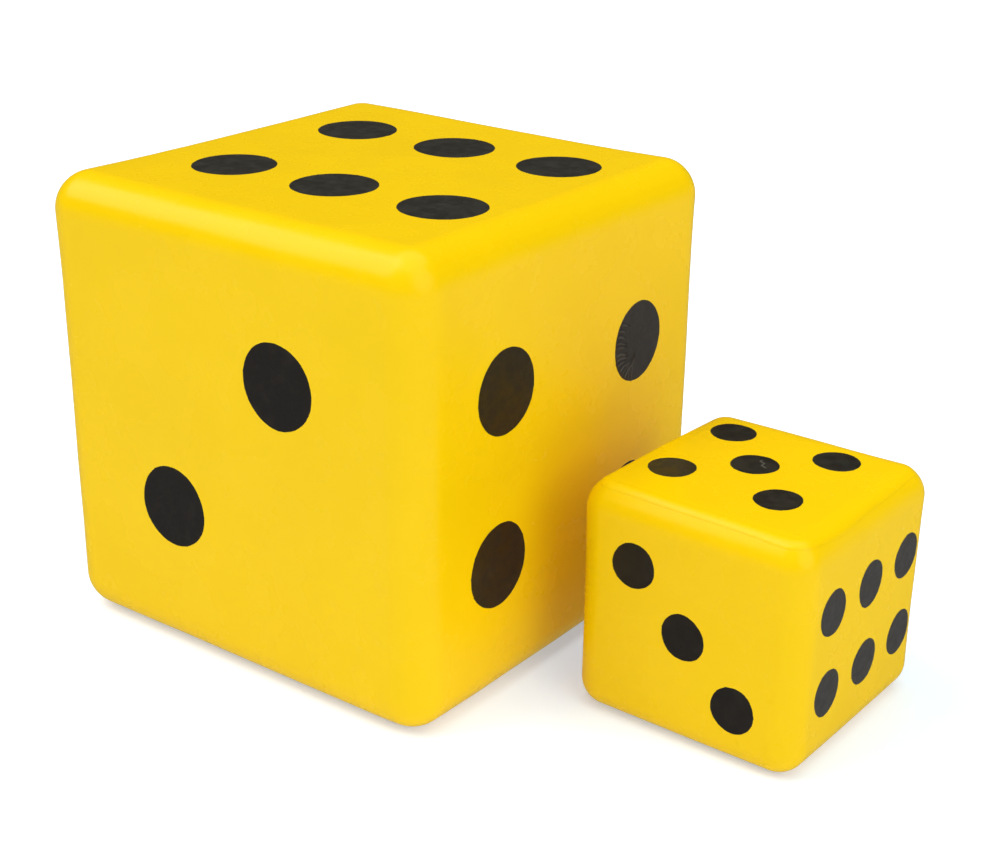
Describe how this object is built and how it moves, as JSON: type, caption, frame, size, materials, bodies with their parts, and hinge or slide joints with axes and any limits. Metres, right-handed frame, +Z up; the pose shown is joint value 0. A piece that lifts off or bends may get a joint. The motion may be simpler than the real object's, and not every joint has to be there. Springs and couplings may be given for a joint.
{
  "type": "giant yard dice",
  "caption": "Pair of giant soft yard dice, one about twice the size of the other, with yellow rubbery skin, rounded edges and black printed pips.",
  "frame": {"origin": "on the ground, under the middle of the pair's bounding box at rest", "axes": "+Z up; +X from the large die towards the small die; -Y towards the viewer, so the large die's faces are square to the axes: six on +Z, two on -Y, four on +X"},
  "size_m": [0.6674, 0.404, 0.402],
  "materials": {
    "yellow_skin": "satin",
    "black_ink": "matte",
    "foam": "matte"
  },
  "bodies": {
    "large_die": {"large_foam_core": "foam", "large_pip_five_1": "black_ink", "large_pip_five_2": "black_ink", "large_pip_five_3": "black_ink", "large_pip_five_4": "black_ink", "large_pip_five_5": "black_ink", "large_pip_four_1": "black_ink", "large_pip_four_2": "black_ink", "large_pip_four_3": "black_ink", "large_pip_four_4": "black_ink", "large_pip_one_1": "black_ink", "large_pip_six_1": "black_ink", "large_pip_six_2": "black_ink", "large_pip_six_3": "black_ink", "large_pip_six_4": "black_ink", "large_pip_six_5": "black_ink", "large_pip_six_6": "black_ink", "large_pip_three_1": "black_ink", "large_pip_three_2": "black_ink", "large_pip_three_3": "black_ink", "large_pip_two_1": "black_ink", "large_pip_two_2": "black_ink", "large_skin_cap": "yellow_skin", "large_skin_shell": "yellow_skin"},
    "small_die": {"small_foam_core": "foam", "small_pip_five_1": "black_ink", "small_pip_five_2": "black_ink", "small_pip_five_3": "black_ink", "small_pip_five_4": "black_ink", "small_pip_five_5": "black_ink", "small_pip_four_1": "black_ink", "small_pip_four_2": "black_ink", "small_pip_four_3": "black_ink", "small_pip_four_4": "black_ink", "small_pip_one_1": "black_ink", "small_pip_six_1": "black_ink", "small_pip_six_2": "black_ink", "small_pip_six_3": "black_ink", "small_pip_six_4": "black_ink", "small_pip_six_5": "black_ink", "small_pip_six_6": "black_ink", "small_pip_three_1": "black_ink", "small_pip_three_2": "black_ink", "small_pip_three_3": "black_ink", "small_pip_two_1": "black_ink", "small_pip_two_2": "black_ink", "small_skin_cap": "yellow_skin", "small_skin_shell": "yellow_skin"}
  },
  "joints": [
    {"name": "small_die_lift", "type": "slide", "parent": "large_die", "child": "small_die", "axis": [0, 0, 1], "range_m": [0, 0.45]}
  ]
}
